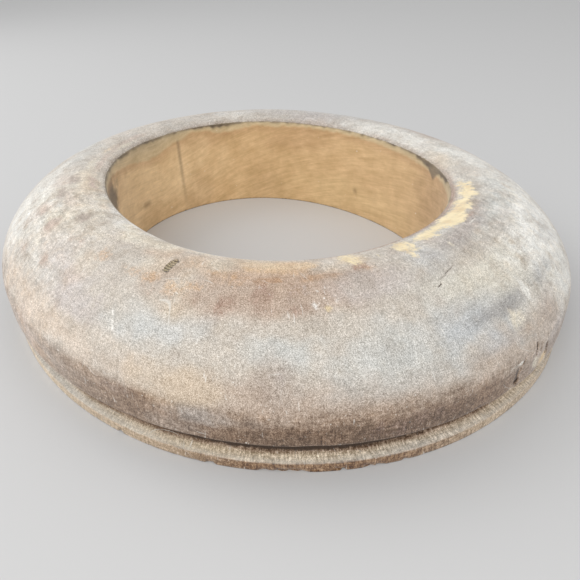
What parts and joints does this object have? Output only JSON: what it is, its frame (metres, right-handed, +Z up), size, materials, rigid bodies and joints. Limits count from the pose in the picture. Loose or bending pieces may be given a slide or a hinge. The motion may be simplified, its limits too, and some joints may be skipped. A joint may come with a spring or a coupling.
{
  "type": "hat brim block",
  "caption": "Oval wooden brim block for hat making: a domed ring with a head opening, a groove for the tying cord and a thin lip to stand on.",
  "frame": {"origin": "middle of the block's box, on the flat face that it stands on", "axes": "+Z up; +X along the long axis of the oval, towards the back of the hat, where the opening is wider; +Y towards the wearer's right"},
  "size_m": [0.315, 0.2744, 0.0583],
  "materials": {
    "block_timber": "worn, dusty taupe size over carved pale timber, matte, bare tan wood inside the opening and on the lip",
    "dowel_wood": "bare turned hardwood"
  },
  "bodies": {
    "root": {"left_board": "block_timber", "right_board": "block_timber", "front_inner_dowel": "dowel_wood", "front_outer_dowel": "dowel_wood", "back_inner_dowel": "dowel_wood", "back_outer_dowel": "dowel_wood"}
  },
  "joints": []
}
